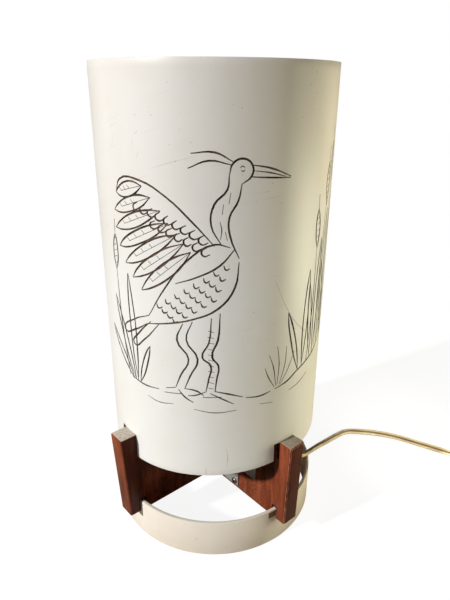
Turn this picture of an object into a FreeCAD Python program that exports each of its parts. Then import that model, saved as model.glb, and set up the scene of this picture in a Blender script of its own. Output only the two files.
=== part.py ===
# Motion lamp: a carved pipe shade stands on a cross of two boards that hook over a foot ring.
# A lamp harp round the bulb carries a needle, and a vaned rotor turns on it in the bulb's warm air.
# Frame: +Z up, the pipe's axis is Z, the table is z = 0, the boards run along X and Y. Millimetres.
import FreeCAD, Part
import math
import os

Vec = FreeCAD.Vector
X_AXIS = Vec(1, 0, 0)
Z_AXIS = Vec(0, 0, 1)
QUARTERS = (0, 90, 180, 270)
overcut = 1.0               # how far a cutting tool runs past the face it cuts
pick_gap = 0.01             # tolerance for picking edges by their place

# --- pipe: foot ring and shade
pipe_r = 79.7               # outer radius of the drain pipe
pipe_wall = 2.54
ring_height = 30.0
shade_drop = 16.4           # the sawn lower edge's mean depth below the tops of its notches
shade_length = 262.2
shade_skew_deg = 2.6        # the lower edge is sawn out of square by this much
shade_skew_azimuth = 50.3   # towards this side the lower edge is highest
shade_notch_snug = 0.4      # clearance on the snug side of a shade notch
shade_notch_loose = 5.05    # clearance on its loose side

# --- cross boards
board_t = 13.5
board_low = 20.4            # underside of the boards
board_height = 70.0
lower_half = 90.4           # half length of the lower board at its top
lower_foot = 87.7           # and at its foot, as a post's outer end leans in
upper_half = 92.6
upper_foot = 88.5
cutout_half = 57.2          # half width of the cut-out between the posts
cutout_floor = 22.5         # height of the board's web under the cut-out
cutout_r = 8.0
post_arris = 0.8
slot_gap = 0.2              # between the ring's wall and the slots that hook over it
kerf_w = 2.4                # saw kerf beside each slot, and one under the shade's wall
low_kerf_rise = 1.4         # how much deeper than its slot the lower kerf is
top_kerf_depth = 15.5
top_seat_w = 0.7            # wood under the outer edge of the shade's wall, beside the kerf

# --- socket bracket, folded from sheet
sheet_t = 1.2
fold_r = 0.6                # inside radius of a fold in the sheet
bracket_gap = 0.1           # between a flange and its board
bracket_end_gap = 0.5
bracket_rise = 13.1         # top plate's underside above the boards' web
bracket_pad_r = 15.0
flange_clear = 2.0          # flange ends stay this far from the crossing board
flange_lap = 0.5            # how far the flanges reach down over the web
tab_inner = 12.0
tab_outer = 37.9
tab_margin = 3.2            # tab's lower edge above the board's underside
screw_edge = 3.6            # screw from the tab's outer end
screw_rise = 3.8            # screw above the tab's lower edge
screw_r = 1.5
screw_length = 5.0
screw_head_r = 2.6
screw_head_h = 1.6
screw_head_edge = 0.96      # rounding of the head's rim

# --- nipple and its nut
nipple_r = 5.0
nipple_bore_r = 3.4
nipple_below = 3.3          # length that shows under the nut
nipple_above = 10.5
fit_gap = 0.1               # between a clamped piece's hole and the nipple
washer_r = 8.5
washer_t = 1.2
nut_flats = 14.0
nut_h = 4.0

# --- harp saddle and harp
saddle_w = 11.0
saddle_gap = 5.0            # between the socket cap and an upright
saddle_upright_h = 16.0
upright_w = 6.0
upright_step = 2.5          # full width of the strap's end above the strap
harp_wire_r = 1.6
harp_side_gap = 7.4         # between the bulb and the wire beside it
harp_bulge_below = 64.0     # the wide part starts this far below the bulb's widest circle
harp_bulge_above = 29.0     # and ends this far above it
harp_straight = 6.0         # straight wire above a ferrule
harp_foot_bend_r = 11.0
harp_bend_r = 22.0
harp_crown_bend_r = 7.3
harp_crown_half = 15.0
harp_crown_rise = 60.0      # crown of the wire above the bulb
ferrule_r = 3.6
ferrule_h = 14.0
crown_boss_r = 4.2
crown_boss_h = 8.0
crown_boss_drop = 3.0       # how far the boss reaches below the wire's middle

# --- socket
cap_wall = 0.7
cap_collar_r = 8.0
cap_collar_h = 4.0
cap_dome_h = 9.0
cap_skirt_h = 14.0
cap_shoulder = 3.0          # size of the bend between the dome and the skirt
outlet_azimuth = 26.3       # side on which the cord leaves the cap
outlet_rise = 5.0           # outlet's axis above the skirt's foot
bushing_r = 4.2
bushing_flange_r = 5.2
bushing_bore_r = 2.2
bushing_flange_t = 1.5
bushing_inner = 2.5          # how far the bushing reaches inside the wall
shell_gap = 0.05
shell_wall = 0.6
shell_length = 38.0
shell_bead_h = 1.4
shell_lap = 4.0             # how far the shell reaches into the cap
liner_gap = 0.1
liner_wall = 0.8
body_rise = 1.0             # socket body's foot above the shell's lower edge
body_h = 14.0
body_margin = 1.15          # of the body round the screw shell
screw_shell_gap = 0.4       # between the screw shell and the bulb's cap
screw_shell_wall = 0.4
screw_shell_h = 20.0
contact_r = 3.0
contact_h = 1.6
terminal_r = 2.0
terminal_h = 2.0
terminal_rise = 5.0
terminal_inset = 0.4        # below the side of the socket body

# --- switch key
spindle_r = 1.6
spindle_gap = 0.05
spindle_length = 20.0
spindle_depth = 9.0         # how far the spindle reaches into the socket body
spindle_hole_gap = 0.6      # round the spindle in the shell and the liner
key_gap = 0.8               # between the cap's side and the key
key_rise = 7.0              # spindle's axis above the bottom of the socket body
key_hub_r = 3.2
key_hub_length = 6.0
key_blade_t = 3.4
key_blade_w = 9.0
key_blade_length = 17.0
key_corner_r = 4.05

# --- bulb
bulb_cap_r = 13.1
bulb_cap_wall = 0.4
bulb_cap_h = 20.0
bulb_foot_r = 4.5
bulb_foot_h = 2.0
bulb_r = 30.0
bulb_length = 108.0
bulb_neck_gap = 0.1         # between the glass neck and the bulb's cap
bulb_neck_h = 10.0
glass_wall = 0.8
stem_r = 4.0
stem_h = 38.0
stem_foot_h = 3.0
glass_lap = 6.0             # how far the neck reaches into the bulb cap
lead_r = 0.5
lead_spread = 9.0
lead_length = 14.0
filament_r = 0.7

# --- pivot and rotor
needle_r = 1.5
needle_seat = 6.0           # length in the crown boss
needle_length = 25.0        # from the seat's bottom to the tip
needle_cone = 5.0
pivot_gap = 0.05
cup_r = 4.5
cup_depth = 6.0
cup_mouth_r = 3.3
cup_roof = 3.5
cup_flange_r = 8.0
cup_flange_t = 1.0
fan_t = 0.6
fan_hub_r = 13.0
fan_rim_w = 6.5
vane_count = 12
vane_tilt_deg = 24.0
vane_root_w = 5.0
vane_tip_w = 19.0
vane_neck_w = 2.2
vane_neck_l = 1.5
vane_overlap = 1.0          # of a neck with the hub, the rim and its blade
fan_skirt_h = 6.0
drum_r = 59.5
drum_wall = 0.8
drum_length = 180.0
drum_gap = 0.05
hoop_r = 0.8
rivet_count = 6
rivet_r = 1.2
rivet_head_r = 2.0
rivet_head_h = 0.5

# --- cord, coil and plug
cord_d = 5.3
outlet_run = 14.1           # straight run out of the bushing
lead_route = [              # then over the foot ring to the table and on to the coil
    (41.0, 21.2, 70.6), (50.8, 29.2, 60.5), (57.3, 38.9, 49.5), (59.7, 50.0, 40.6),
    (56.8, 61.9, 34.6), (51.1, 75.0, 29.4), (45.0, 89.0, 23.4), (39.6, 104.3, 15.8),
    (36.1, 119.8, 8.4), (36.3, 135.3, 3.4), (42.6, 149.0, 2.65), (54.4, 161.1, 2.65),
    (69.5, 171.4, 2.65), (86.8, 179.4, 2.65), (105.4, 185.2, 2.65), (124.7, 192.5, 2.65),
    (143.0, 200.5, 2.65), (160.7, 208.6, 2.65)]
coil_in_r = 25.35
coil_out_r = 35.95
coil_h = 21.2
coil_centre = (174.55, 178.31)
tail_route = [
    (207.84, 179.06, 18.55), (207.59, 165.75, 15.0), (206.28, 153.22, 9.6), (205.05, 141.19, 6.0),
    (204.12, 129.16, 6.0)]
plug_length = 24.0
plug_w = 21.0
plug_h = 12.0
plug_neck_wall = 0.6        # of the neck round the cord
plug_neck_r = 4.6
plug_neck_length = 10.0
plug_edge = 3.0
blade_w = 6.3
blade_t = 1.5
blade_length = 16.0
blade_pitch = 12.7

# --- heights and places that follow
pipe_in = pipe_r - pipe_wall
board_top = board_low + board_height
shade_bottom = board_top - shade_drop
web_top = board_low + cutout_floor
lap_z = (board_low + web_top) / 2
plate_z = web_top + bracket_rise
pad_top = plate_z + sheet_t
saddle_top = pad_top + sheet_t
screw_x = tab_outer - screw_edge
screw_shell_r = bulb_cap_r + screw_shell_gap + screw_shell_wall
body_r = screw_shell_r + body_margin
liner_in = body_r + liner_gap
liner_r = liner_in + liner_wall
shell_in = liner_r + liner_gap
shell_r = shell_in + shell_wall
cap_in = shell_r + shell_gap
cap_r = cap_in + cap_wall
saddle_half = cap_r + saddle_gap + sheet_t / 2
cap_z = saddle_top
cap_dome_z = cap_z + cap_collar_h
cap_skirt_z = cap_dome_z + cap_dome_h
cap_rim_z = cap_skirt_z + cap_skirt_h
outlet_z = cap_skirt_z + outlet_rise
outlet_face = cap_r + bushing_flange_t
shell_low = cap_rim_z - shell_lap
body_low = shell_low + body_rise
body_top = body_low + body_h
key_z = body_low + key_rise
bulb_foot_z = body_top + contact_h
bulb_cap_z = bulb_foot_z + bulb_foot_h
bulb_rim_z = bulb_cap_z + bulb_cap_h
bulb_neck_r = bulb_cap_r - bulb_cap_wall - bulb_neck_gap
bulb_top = bulb_foot_z + bulb_length
bulb_centre_z = bulb_top - bulb_r
harp_base_z = pad_top + saddle_upright_h
harp_bulge = bulb_r + harp_side_gap + harp_wire_r
crown_z = bulb_top + harp_crown_rise
needle_base_z = crown_z + crown_boss_h - needle_seat
pivot_z = needle_base_z + needle_length
cup_apex_z = pivot_z + pivot_gap
fan_z = cup_apex_z + cup_roof - cup_flange_t - fan_t
drum_in = drum_r - drum_wall
fan_rim_in = drum_r - fan_rim_w
drum_low = fan_z - drum_length
skirt_r = drum_in - drum_gap


# --- helpers
def cylinder(radius, z0, z1, at=(0, 0)):
    return Part.makeCylinder(radius, z1 - z0, Vec(at[0], at[1], z0))


def tube(outer, inner, z0, z1):
    return cylinder(outer, z0, z1).cut(cylinder(inner, z0 - overcut, z1 + overcut))


def block(x0, x1, y0, y1, z0, z1):
    return Part.makeBox(x1 - x0, y1 - y0, z1 - z0, Vec(x0, y0, z0))


def fuse(shapes):
    return shapes[0].multiFuse(shapes[1:]).removeSplitter()


def turned(shape, degrees, axis=Z_AXIS, centre=Vec(0, 0, 0)):
    copy = shape.copy()
    copy.rotate(centre, axis, degrees)
    return copy


def lathe(profile):
    """Solid of revolution about Z from (radius, height) points."""
    wire = Part.makePolygon([Vec(r, 0, z) for r, z in profile + profile[:1]])
    return Part.Face(wire).revolve(Vec(0, 0, 0), Z_AXIS, 360)


def rounded_path(points, radii):
    """Straight runs joined by tangent arcs, one radius for each inner point."""
    edges = []
    start = points[0]
    for before, corner, after, radius in zip(points, points[1:], points[2:], radii):
        u = (corner - before).normalize()
        v = (after - corner).normalize()
        half = u.getAngle(v) / 2
        reach = radius * math.tan(half)
        inwards = (v - u).normalize()
        first = corner - u * reach
        middle = corner + inwards * (radius / math.cos(half) - radius)
        last = corner + v * reach
        edges.append(Part.LineSegment(start, first).toShape())
        edges.append(Part.Arc(first, middle, last).toShape())
        start = last
    edges.append(Part.LineSegment(start, points[-1]).toShape())
    return Part.Wire(edges)


def route_radii(points):
    """Arc radii of a cord's route: 0.45 of the shorter run, over the tangent of half the turn."""
    radii = []
    for before, corner, after in zip(points, points[1:], points[2:]):
        run = min((corner - before).Length, (after - corner).Length)
        half = (corner - before).getAngle(after - corner) / 2
        radii.append(0.45 * run / math.tan(half))
    return radii


def swept(path, radius):
    """Round bar along a path."""
    start = path.Edges[0]
    first = start.FirstParameter
    profile = Part.makeCircle(radius, start.valueAt(first), start.tangentAt(first))
    pipe = Part.BRepOffsetAPI.MakePipeShell(path)
    pipe.add(Part.Wire(profile))
    pipe.build()
    pipe.makeSolid()
    return pipe.shape()


def folded_channel(half_length, half_width, open_z, back_z):
    """Sheet folded into a channel along X: its back is at back_z and its flanges reach to open_z."""
    inwards = math.copysign(1, open_z - back_z)
    inner = half_width - sheet_t
    inner_z = back_z + inwards * sheet_t
    ends = (-half_length, half_length)
    body = block(*ends, -half_width, half_width, *sorted((open_z, back_z)))
    hollow = block(*ends, -inner, inner, *sorted((open_z + inwards * overcut, inner_z)))
    channel = body.cut(hollow)
    for radius, y, z in ((fold_r + sheet_t, half_width, back_z), (fold_r, inner, inner_z)):
        folds = [e for e in channel.Edges if abs(abs(e.CenterOfMass.y) - y) < pick_gap
                 and abs(e.CenterOfMass.z - z) < pick_gap and e.Length > half_length]
        channel = channel.makeFillet(radius, folds)
    return channel


def save(node, shape):
    shape.exportStep("parts/" + node + ".step")


# --- pipe pieces
def foot_ring():
    return tube(pipe_r, pipe_in, 0, ring_height)


def shade_tube():
    reach = 2 * pipe_r
    shade = tube(pipe_r, pipe_in, shade_bottom - reach, shade_bottom + shade_length)
    waste = block(-reach, reach, -reach, reach, shade_bottom - 2 * reach, shade_bottom)
    hinge = turned(Part.Vertex(0, 1, 0), shade_skew_azimuth).Point
    waste.rotate(Vec(0, 0, shade_bottom), hinge, -shade_skew_deg)
    shade = shade.cut(waste)
    snug = board_t / 2 + shade_notch_snug
    loose = board_t / 2 + shade_notch_loose
    for azimuth in QUARTERS:
        notch = block(0, pipe_r + overcut, -loose, snug, 0, board_top)
        shade = shade.cut(turned(notch, azimuth))
    return shade


# --- boards
def board_blank(half_top, half_low):
    """Plank on edge along X with leaning ends, a cut-out between the posts, slots and saw kerfs."""
    low = board_low
    top = board_top
    bend = cutout_r * (1 - math.sqrt(0.5))

    def at(x, z):
        return Vec(x, -board_t / 2, z)

    def corner(side):
        points = [at(side * cutout_half, web_top + cutout_r),
                  at(side * (cutout_half - bend), web_top + bend),
                  at(side * (cutout_half - cutout_r), web_top)]
        return points if side > 0 else points[::-1]

    right = corner(1)
    left = corner(-1)
    outline = [at(-half_low, low), at(half_low, low), at(half_top, top), at(cutout_half, top), right[0]]
    edges = [Part.LineSegment(a, b).toShape() for a, b in zip(outline, outline[1:])]
    edges.append(Part.Arc(*right).toShape())
    edges.append(Part.LineSegment(right[2], left[0]).toShape())
    edges.append(Part.Arc(*left).toShape())
    outline = [left[2], at(-cutout_half, top), at(-half_top, top), at(-half_low, low)]
    edges += [Part.LineSegment(a, b).toShape() for a, b in zip(outline, outline[1:])]
    board = Part.Face(Part.Wire(edges)).extrude(Vec(0, board_t, 0))
    arrises = [e for e in board.Edges if is_post_arris(e, half_top, half_low, top)]
    board = board.makeChamfer(post_arris, arrises)
    slot_in = math.sqrt(pipe_in ** 2 - (board_t / 2) ** 2) - slot_gap
    kerf_out = pipe_r - top_seat_w
    cuts = [(slot_in, pipe_r + slot_gap, low - overcut, ring_height),
            (slot_in - kerf_w, pipe_in, low - overcut, ring_height + low_kerf_rise),
            (kerf_out - kerf_w, kerf_out, top - top_kerf_depth, top + overcut)]
    for side in (1, -1):
        for inner, outer, z0, z1 in cuts:
            board = board.cut(block(*sorted((side * inner, side * outer)), -board_t, board_t, z0, z1))
    return board


def is_post_arris(edge, half_top, half_low, top):
    """Long edges of the posts' outer ends and the ends of their tops."""
    middle = edge.CenterOfMass
    on_end = abs(abs(middle.x) - (half_top + half_low) / 2) < pick_gap and edge.Length > board_t * 2
    on_top = abs(middle.z - top) < pick_gap and abs(abs(middle.x) - half_top) < pick_gap
    return on_end or on_top


def lower_board():
    board = board_blank(lower_half, lower_foot)
    half = board_t / 2
    board = board.cut(block(-half, half, -board_t, board_t, lap_z, board_top + overcut))
    for pilot in bracket_screw_shanks():
        board = board.cut(pilot)
    return board


def upper_board():
    board = board_blank(upper_half, upper_foot)
    half = board_t / 2
    board = board.cut(block(-half, half, -board_t, board_t, board_low - overcut, lap_z))
    return turned(board, 90)


# --- bracket
def bracket_face():
    return board_t / 2 + bracket_gap


def socket_bracket():
    """Round pad with two channel arms whose flanges straddle the lower board and carry screw tabs."""
    face = bracket_face()
    outer = face + sheet_t
    start = board_t / 2 + flange_clear
    low = web_top - flange_lap
    tab_low = board_low + tab_margin
    channel = folded_channel(cutout_half - bracket_end_gap, outer, low, pad_top)
    channel = channel.cut(block(-start, start, -outer, outer, low - overcut, pad_top + overcut))
    pieces = [channel, cylinder(bracket_pad_r, plate_z, pad_top)]
    for side in (1, -1):
        tab = sorted((side * tab_inner, side * tab_outer))
        for flank in (1, -1):
            wall = sorted((flank * face, flank * outer))
            pieces.append(block(*tab, *wall, tab_low, low))
    bracket = fuse(pieces)
    bracket = bracket.cut(cylinder(nipple_r + fit_gap, plate_z - overcut, pad_top + overcut))
    for shank in bracket_screw_shanks():
        bracket = bracket.cut(shank)
    return bracket


def screw_places():
    z = board_low + tab_margin + screw_rise
    return [(side * screw_x, flank, z) for side in (1, -1) for flank in (1, -1)]


def bracket_screw_shanks():
    start = bracket_face() + sheet_t
    length = start - board_t / 2 + screw_length
    return [Part.makeCylinder(screw_r, length, Vec(x, flank * start, z), Vec(0, -flank, 0))
            for x, flank, z in screw_places()]


def bracket_screws():
    start = bracket_face() + sheet_t
    screws = []
    for shank, (x, flank, z) in zip(bracket_screw_shanks(), screw_places()):
        head = Part.makeCylinder(screw_head_r, screw_head_h, Vec(x, flank * start, z), Vec(0, flank, 0))
        rim = [e for e in head.Edges if abs(abs(e.CenterOfMass.y) - start - screw_head_h) < pick_gap
               and e.Length > screw_head_r]
        head = head.makeFillet(screw_head_edge, rim)
        screws.append(shank.fuse(head))
    return Part.makeCompound(screws)


# --- nipple, nut, washer
def threaded_nipple():
    low = plate_z - washer_t - nut_h - nipple_below
    return tube(nipple_r, nipple_bore_r, low, pad_top + nipple_above)


def lock_washer():
    return tube(washer_r, nipple_r + fit_gap, plate_z - washer_t, plate_z)


def lock_nut():
    top = plate_z - washer_t
    across = nut_flats / math.sqrt(3)
    first = Part.Vertex(across, 0, top - nut_h)
    corners = [turned(first, 60 * side).Point for side in range(7)]
    nut = Part.Face(Part.makePolygon(corners)).extrude(Vec(0, 0, nut_h))
    return nut.cut(cylinder(nipple_r, top - nut_h - overcut, top + overcut))


# --- harp
def harp_saddle():
    """Strap under the socket with its ends folded up and narrowed to carry the harp."""
    half_w = saddle_w / 2
    reach = saddle_half + sheet_t / 2
    saddle = folded_channel(half_w, reach, harp_base_z, pad_top)
    step_z = saddle_top + upright_step
    for side in (1, -1):
        waste = sorted((side * upright_w / 2, side * saddle_w))
        saddle = saddle.cut(block(*waste, -2 * reach, 2 * reach, step_z, harp_base_z + overcut))
    return saddle.cut(cylinder(nipple_r + fit_gap, pad_top - overcut, saddle_top + overcut))


def harp_loop():
    """Wire loop in the YZ plane, from one upright round the bulb and over to the other."""
    side = [(saddle_half, harp_base_z), (saddle_half, harp_base_z + ferrule_h + harp_straight),
            (harp_bulge, bulb_centre_z - harp_bulge_below), (harp_bulge, bulb_centre_z + harp_bulge_above),
            (harp_crown_half, crown_z)]
    points = [Vec(0, y, z) for y, z in side] + [Vec(0, -y, z) for y, z in side[::-1]]
    radii = [harp_foot_bend_r, harp_bend_r, harp_bend_r, harp_crown_bend_r]
    return swept(rounded_path(points, radii + radii[::-1]), harp_wire_r)


def harp():
    boss = cylinder(crown_boss_r, crown_z - crown_boss_drop, crown_z + crown_boss_h)
    loop = harp_loop().fuse(boss).removeSplitter()
    return loop.cut(cylinder(needle_r, needle_base_z, crown_z + crown_boss_h + overcut))


def harp_ferrules():
    """Sleeves that drop over the joint between the wire's ends and the saddle's uprights."""
    top = harp_base_z + ferrule_h
    sleeves = []
    for side in (1, -1):
        at = (0, side * saddle_half)
        sleeve = cylinder(ferrule_r, harp_base_z, top, at)
        sleeves.append(sleeve.cut(cylinder(harp_wire_r, harp_base_z - overcut, top + overcut, at)))
    return Part.makeCompound(sleeves)


# --- socket
def outlet_direction():
    angle = math.radians(outlet_azimuth)
    return Vec(math.cos(angle), math.sin(angle), 0)


def outlet_bar(radius, start, end):
    """Round bar along the outlet's axis, from one distance to another from the lamp's axis."""
    direction = outlet_direction()
    return Part.makeCylinder(radius, end - start, direction * start + Vec(0, 0, outlet_z), direction)


def socket_cap():
    profile = [(nipple_r, cap_z), (cap_collar_r, cap_z), (cap_collar_r, cap_dome_z),
               (cap_r - cap_shoulder, cap_skirt_z - cap_shoulder), (cap_r, cap_skirt_z), (cap_r, cap_rim_z),
               (cap_in, cap_rim_z), (cap_in, cap_skirt_z),
               (cap_in - cap_shoulder, cap_skirt_z - cap_shoulder + cap_wall),
               (cap_collar_r, cap_dome_z + cap_wall), (nipple_r, cap_dome_z + cap_wall)]
    return lathe(profile).cut(outlet_bar(bushing_r, cap_collar_r, outlet_face))


def cord_bushing():
    inner = cap_in - bushing_inner
    barrel = outlet_bar(bushing_r, inner, outlet_face)
    flange = outlet_bar(bushing_flange_r, cap_r, outlet_face)
    return fuse([barrel, flange]).cut(outlet_bar(bushing_bore_r, inner - overcut, outlet_face + overcut))


def spindle_bar(radius, start, end):
    """Round bar along the spindle's axis, on the -X side."""
    return Part.makeCylinder(radius, end - start, Vec(-start, 0, key_z), Vec(-1, 0, 0))


def socket_shell():
    top = shell_low + shell_length
    shell = tube(shell_r, shell_in, shell_low, top)
    bead = tube(cap_r, shell_in, cap_rim_z, cap_rim_z + shell_bead_h)
    return fuse([shell, bead]).cut(spindle_bar(spindle_r + spindle_hole_gap, liner_in, cap_r + overcut))


def shell_liner():
    liner = tube(liner_r, liner_in, body_low, shell_low + shell_length - shell_bead_h)
    return liner.cut(spindle_bar(spindle_r + spindle_hole_gap, body_r - overcut, cap_r))


def socket_body():
    body = cylinder(body_r, body_low, body_top)
    body = body.cut(spindle_bar(spindle_r + spindle_gap, body_r - spindle_depth, body_r + overcut))
    for terminal in terminal_places():
        body = body.cut(terminal)
    return body


def screw_shell():
    return tube(screw_shell_r, screw_shell_r - screw_shell_wall, body_top, body_top + screw_shell_h)


def centre_contact():
    return cylinder(contact_r, body_top, bulb_foot_z)


def terminal_places():
    z = body_low + terminal_rise
    start = body_r - terminal_inset - terminal_h
    return [Part.makeCylinder(terminal_r, terminal_h, Vec(0, side * start, z), Vec(0, side, 0))
            for side in (1, -1)]


def terminal_screws():
    return Part.makeCompound(terminal_places())


# --- switch key
def switch_spindle():
    start = body_r - spindle_depth + spindle_gap
    return spindle_bar(spindle_r, start, start + spindle_length)


def switch_key():
    """Flat paddle on a round hub, pushed on the spindle's end."""
    start = cap_r + key_gap
    hub_end = start + key_hub_length
    hub = spindle_bar(key_hub_r, start, hub_end)
    tip = hub_end + key_blade_length
    half_t = key_blade_t / 2
    half_w = key_blade_w / 2
    blade = block(-tip, -hub_end + half_w, -half_t, half_t, key_z - half_w, key_z + half_w)
    ends = [e for e in blade.Edges if abs(e.CenterOfMass.x + tip) < pick_gap
            and e.Length < key_blade_w - pick_gap]
    blade = blade.makeFillet(key_corner_r, ends)
    spindle_end = body_r - spindle_depth + spindle_gap + spindle_length
    return fuse([hub, blade]).cut(spindle_bar(spindle_r, start - overcut, spindle_end))


# --- bulb
def glass_profile(inset):
    """Outline of the glass from its foot to its top, drawn inwards by the wall for the inside."""
    neck_z = bulb_rim_z - glass_lap + bulb_neck_h
    drop = bulb_centre_z - neck_z
    reach = math.hypot(bulb_neck_r, drop)
    tilt = math.asin(bulb_r / reach) - math.atan2(bulb_neck_r, drop)
    normal = (math.cos(tilt), -math.sin(tilt))
    radius = bulb_r - inset
    touch = (radius * normal[0], bulb_centre_z + radius * normal[1])
    neck = bulb_neck_r - inset
    bend_z = touch[1] - (touch[0] - neck) * normal[0] / -normal[1]
    middle = (math.asin(normal[1]) + math.pi / 2) / 2
    foot = Vec(neck, 0, bulb_rim_z - glass_lap)
    bend = Vec(neck, 0, bend_z)
    tangent = Vec(touch[0], 0, touch[1])
    halfway = Vec(radius * math.cos(middle), 0, bulb_centre_z + radius * math.sin(middle))
    crown = Vec(0, 0, bulb_centre_z + radius)
    return [Part.LineSegment(foot, bend), Part.LineSegment(bend, tangent),
            Part.Arc(tangent, halfway, crown)]


def bulb_glass():
    outer = glass_profile(0)
    inner = glass_profile(glass_wall)
    top = Part.LineSegment(outer[-1].EndPoint, inner[-1].EndPoint)
    foot = Part.LineSegment(inner[0].StartPoint, outer[0].StartPoint)
    edges = [c.toShape() for c in outer + [top] + inner[::-1] + [foot]]
    wire = Part.Wire(Part.__sortEdges__(edges))
    return Part.Face(wire).revolve(Vec(0, 0, 0), Z_AXIS, 360)


def bulb_cap():
    inside = bulb_cap_r - bulb_cap_wall
    shoulder_z = bulb_cap_z + bulb_cap_r - bulb_foot_r
    hole = bulb_foot_r - bulb_cap_wall
    return lathe([(hole, bulb_cap_z), (bulb_foot_r, bulb_cap_z), (bulb_cap_r, shoulder_z),
                  (bulb_cap_r, bulb_rim_z), (inside, bulb_rim_z), (inside, shoulder_z + bulb_cap_wall / 2),
                  (hole, bulb_cap_z + bulb_cap_wall)])


def bulb_foot():
    return cylinder(bulb_foot_r, bulb_foot_z, bulb_cap_z)


def bulb_stem():
    low = bulb_rim_z - glass_lap
    foot = cylinder(bulb_neck_r - glass_wall, low, low + stem_foot_h)
    return fuse([foot, cylinder(stem_r, low, low + stem_h)])


def filament_leads():
    """Start and end of the two support wires above the stem."""
    low = bulb_rim_z - glass_lap + stem_h
    return [(Vec(side * stem_r / 2, 0, low), Vec(side * lead_spread, 0, low + lead_length))
            for side in (1, -1)]


def bulb_filament():
    pieces = []
    for start, end in filament_leads():
        along = end - start
        pieces.append(Part.makeCylinder(lead_r, along.Length, start, along))
        pieces.append(Part.makeSphere(filament_r, end))
    ends = [end for start, end in filament_leads()]
    span = ends[1] - ends[0]
    pieces.append(Part.makeCylinder(filament_r, span.Length, ends[0], span))
    below = block(-bulb_r, bulb_r, -bulb_r, bulb_r, bulb_rim_z, filament_leads()[0][0].z)
    return fuse(pieces).cut(below)


# --- pivot and rotor
def pivot_needle():
    cone_z = pivot_z - needle_cone
    return lathe([(0, needle_base_z), (needle_r, needle_base_z), (needle_r, cone_z), (0, pivot_z)])


def rotor_cup():
    top = cup_apex_z + cup_roof
    low = cup_apex_z - cup_depth
    flange_z = top - cup_flange_t
    return lathe([(0, cup_apex_z), (cup_mouth_r, low), (cup_r, low), (cup_r, flange_z),
                  (cup_flange_r, flange_z), (cup_flange_r, top), (0, top)])


def fan_vane():
    """Tapered blade along X, tilted about its own length, with a flat neck at each end."""
    middle_z = fan_z + fan_t / 2
    start = fan_hub_r + vane_neck_l
    end = fan_rim_in - vane_neck_l
    root = vane_root_w / 2
    tip = vane_tip_w / 2
    corners = [Vec(x, y, fan_z) for x, y in ((start, -root), (end, -tip), (end, tip), (start, root))]
    blade = Part.Face(Part.makePolygon(corners + corners[:1])).extrude(Vec(0, 0, fan_t))
    blade = turned(blade, vane_tilt_deg, X_AXIS, Vec(0, 0, middle_z))
    half = vane_neck_w / 2
    necks = [block(fan_hub_r - vane_overlap, start + vane_overlap, -half, half, fan_z, fan_z + fan_t),
             block(end - vane_overlap, fan_rim_in + vane_overlap, -half, half, fan_z, fan_z + fan_t)]
    return fuse([blade] + necks)


def rotor_fan():
    vane = fan_vane()
    pieces = [cylinder(fan_hub_r, fan_z, fan_z + fan_t), tube(drum_r, fan_rim_in, fan_z, fan_z + fan_t),
              tube(skirt_r, skirt_r - fan_t, fan_z - fan_skirt_h, fan_z + fan_t)]
    pieces += [turned(vane, 360 * k / vane_count) for k in range(vane_count)]
    fan = fuse(pieces).cut(cylinder(cup_r, fan_z - overcut, fan_z + fan_t + overcut))
    for shank in rivet_shanks():
        fan = fan.cut(shank)
    return fan


def rivet_bar(radius, start, end, turn):
    bar = Part.makeCylinder(radius, end - start, Vec(start, 0, fan_z - fan_skirt_h / 2), X_AXIS)
    return turned(bar, turn)


def rivet_turns():
    return [360 * (k + 0.5) / rivet_count for k in range(rivet_count)]


def rivet_shanks():
    start = skirt_r - fan_t - drum_gap
    return [rivet_bar(rivet_r, start, drum_r, turn) for turn in rivet_turns()]


def rotor_rivets():
    inner = skirt_r - fan_t - drum_gap
    rivets = []
    for shank, turn in zip(rivet_shanks(), rivet_turns()):
        heads = [rivet_bar(rivet_head_r, inner - rivet_head_h, inner, turn),
                 rivet_bar(rivet_head_r, drum_r, drum_r + rivet_head_h, turn)]
        rivets.append(fuse([shank] + heads))
    return Part.makeCompound(rivets)


def rotor_drum():
    drum = tube(drum_r, drum_in, drum_low, fan_z)
    for shank in rivet_shanks():
        drum = drum.cut(shank)
    return drum


def rotor_hoop():
    return Part.makeTorus(drum_in - drum_gap - hoop_r, hoop_r, Vec(0, 0, drum_low + hoop_r))


# --- cord
def cord_points(route):
    return [Vec(*point) for point in route]


def cord_tube(points):
    """Round stand-in of the flat cord along its route; the radii of its bends are printed."""
    radii = route_radii(points)
    print("cord bends:", [round(radius) for radius in radii])
    path = rounded_path(points, radii)
    solid = swept(path, cord_d / 2)
    print("length", round(path.Length, 1), "volume ratio",
          round(solid.Volume / (math.pi * cord_d ** 2 / 4 * path.Length), 4))
    return solid


def cord_lead():
    start = outlet_direction() * outlet_face + Vec(0, 0, outlet_z)
    return cord_tube([start, start + outlet_direction() * outlet_run] + cord_points(lead_route))


def cord_coil():
    hole = cylinder(coil_in_r, -overcut, coil_h + overcut, coil_centre)
    ring = cylinder(coil_out_r, 0, coil_h, coil_centre).cut(hole)
    rims = [e for e in ring.Edges if e.Length > 2 * coil_in_r]
    return ring.makeFillet(cord_d / 2, [e for e in rims if abs(e.CenterOfMass.z - coil_h / 2) > coil_h / 4])


def cord_tail():
    return cord_tube(cord_points(tail_route))


def plug_frame():
    """Start of the plug at the cord's end, and the turn that points its X axis away from the cord."""
    before, end = cord_points(tail_route)[-2:]
    return end, math.degrees(math.atan2(end.y - before.y, end.x - before.x))


def at_plug(shape):
    start, azimuth = plug_frame()
    shape.rotate(Vec(0, 0, 0), Z_AXIS, azimuth)
    shape.translate(start)
    return shape


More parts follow.
